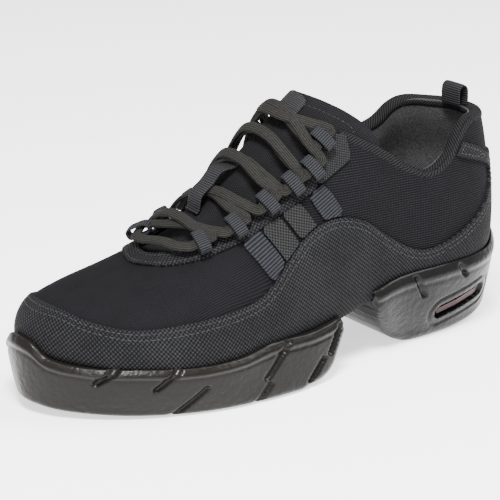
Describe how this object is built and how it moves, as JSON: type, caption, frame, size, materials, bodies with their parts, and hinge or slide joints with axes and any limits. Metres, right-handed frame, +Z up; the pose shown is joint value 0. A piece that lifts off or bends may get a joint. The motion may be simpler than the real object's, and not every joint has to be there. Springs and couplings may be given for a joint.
{
  "type": "dance sneaker",
  "caption": "Low lace-up dance sneaker for the left foot: textile upper, split thick glossy sole in two pods with a bare arch between, webbing lace loops and a pull loop.",
  "frame": {"origin": "on the floor, at the centre of the flat resting spot of the heel pod", "axes": "+X to the toe, +Y to the outer side of the left shoe, +Z up"},
  "size_m": [0.2743, 0.1028, 0.1329],
  "materials": {
    "canvas": "matt woven textile",
    "coarse_canvas": "coarse matt weave",
    "webbing": "ribbed webbing, slight sheen",
    "lining": "soft brushed knit",
    "lace": "flat woven cord",
    "sole": "glossy smoky polyurethane",
    "slot_tint": "glossy dark red tint"
  },
  "bodies": {
    "root": {"upper": "canvas", "mudguard": "coarse_canvas", "throat_stay": "coarse_canvas", "strap_1_outer": "webbing", "strap_2_outer": "webbing", "strap_3_outer": "webbing", "strap_4_outer": "webbing", "tape_outer": "webbing", "strap_1_inner": "webbing", "strap_2_inner": "webbing", "strap_3_inner": "webbing", "strap_4_inner": "webbing", "tape_inner": "webbing", "board": "canvas", "insole": "lining", "tongue": "lining", "tongue_label": "webbing", "laces": "lace", "loop_1_outer": "webbing", "loop_2_outer": "webbing", "loop_3_outer": "webbing", "loop_4_outer": "webbing", "loop_5_outer": "webbing", "loop_6_outer": "webbing", "loop_1_inner": "webbing", "loop_2_inner": "webbing", "loop_3_inner": "webbing", "loop_4_inner": "webbing", "loop_5_inner": "webbing", "loop_6_inner": "webbing", "lace_keeper": "webbing", "pull_loop": "webbing", "sole_fore": "sole", "sole_heel": "sole", "slot_bar_outer": "slot_tint", "slot_bar_inner": "slot_tint"}
  },
  "joints": []
}
